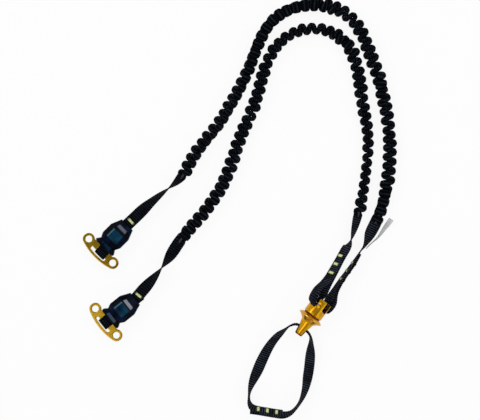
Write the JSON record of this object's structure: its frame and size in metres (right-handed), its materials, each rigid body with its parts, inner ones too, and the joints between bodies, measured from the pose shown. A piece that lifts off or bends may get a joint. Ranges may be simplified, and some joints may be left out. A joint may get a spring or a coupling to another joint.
{
  "type": "ice tool leash",
  "caption": "Double ice tool leash: elastic gathered-webbing arms with grip sleeves and slotted toggles, joined at a turned swivel with a stitched harness loop.",
  "frame": {"origin": "middle of the bottom of the box round the rigid pieces (toggles, grips and swivel)", "axes": "+X to the right and +Y up in the picture, which looks straight down; +Z up from the floor"},
  "size_m": [0.361, 0.4833, 0.0324],
  "materials": {
    "webbing": "woven, near black with fine cross ribs",
    "elastic": "covered elastic cord",
    "thread": "yellow-green bar tack thread",
    "gold": "gold anodised, turned",
    "steel": "bright",
    "groove": "dark red washer",
    "grip": "glossy dark blue rubber-like plastic",
    "label": "translucent blank tab"
  },
  "bodies": {
    "swivel_crown": {"swivel_head": "gold", "web_pin_outer": "steel", "web_pin_inner": "steel", "label_tab": "label", "outer_swivel_tape": "webbing", "outer_gathered_sleeve": "webbing", "outer_elastic_core": "elastic", "outer_swivel_tack_1": "thread", "outer_swivel_tack_2": "thread", "outer_swivel_tack_3": "thread", "inner_swivel_tape": "webbing", "inner_gathered_sleeve": "webbing", "inner_elastic_core": "elastic", "inner_swivel_tack_1": "thread", "inner_swivel_tack_2": "thread", "inner_swivel_tack_3": "thread"},
    "swivel_tail": {"swivel_tail": "gold", "swivel_axle": "steel", "axle_washer": "steel", "thrust_washer": "groove"},
    "harness_loop": {"harness_loop": "webbing", "harness_tack_1": "thread", "harness_tack_2": "thread", "harness_tack_3": "thread"},
    "outer_tool_end": {"outer_toggle_tape": "webbing", "outer_toggle_tack": "thread"},
    "outer_grip": {"outer_grip_sleeve": "grip", "outer_grip_collar": "grip"},
    "outer_toggle": {"outer_toggle": "gold"},
    "inner_tool_end": {"inner_toggle_tape": "webbing", "inner_toggle_tack": "thread"},
    "inner_grip": {"inner_grip_sleeve": "grip", "inner_grip_collar": "grip"},
    "inner_toggle": {"inner_toggle": "gold"}
  },
  "joints": [
    {"name": "swivel_spin", "type": "hinge", "parent": "swivel_crown", "child": "swivel_tail", "pos_m": [0.10425, -0.06145, 0.0147], "axis": [0.599, 0.8007, 0], "continuous": true},
    {"name": "loop_swing", "type": "hinge", "parent": "swivel_tail", "child": "harness_loop", "pos_m": [0.10952, -0.0544, 0.0147], "axis": [0.8007, -0.599, 0], "range_deg": [-110, 110]},
    {"name": "outer_stretch", "type": "slide", "parent": "swivel_crown", "child": "outer_tool_end", "axis": [-0.769, -0.6392, 0], "range_m": [0, 0.65], "stiffness_N_per_m": 15, "deforming": ["outer_gathered_sleeve", "outer_elastic_core"]},
    {"name": "outer_grip_slide", "type": "slide", "parent": "outer_tool_end", "child": "outer_grip", "axis": [0.712, 0.7021, 0], "range_m": [0, 0.015]},
    {"name": "outer_toggle_tilt", "type": "hinge", "parent": "outer_tool_end", "child": "outer_toggle", "pos_m": [-0.1207, 0.03459, 0.011], "axis": [-0.7021, 0.712, 0], "range_deg": [-60, 60], "deforming": ["outer_toggle_tape"]},
    {"name": "inner_stretch", "type": "slide", "parent": "swivel_crown", "child": "inner_tool_end", "axis": [-0.5, -0.866, 0], "range_m": [0, 0.65], "stiffness_N_per_m": 15, "deforming": ["inner_gathered_sleeve", "inner_elastic_core"]},
    {"name": "inner_grip_slide", "type": "slide", "parent": "inner_tool_end", "child": "inner_grip", "axis": [0.7837, 0.6212, 0], "range_m": [0, 0.015]},
    {"name": "inner_toggle_tilt", "type": "hinge", "parent": "inner_tool_end", "child": "inner_toggle", "pos_m": [-0.11471, -0.0469, 0.011], "axis": [-0.6212, 0.7837, 0], "range_deg": [-60, 60], "deforming": ["inner_toggle_tape"]}
  ]
}
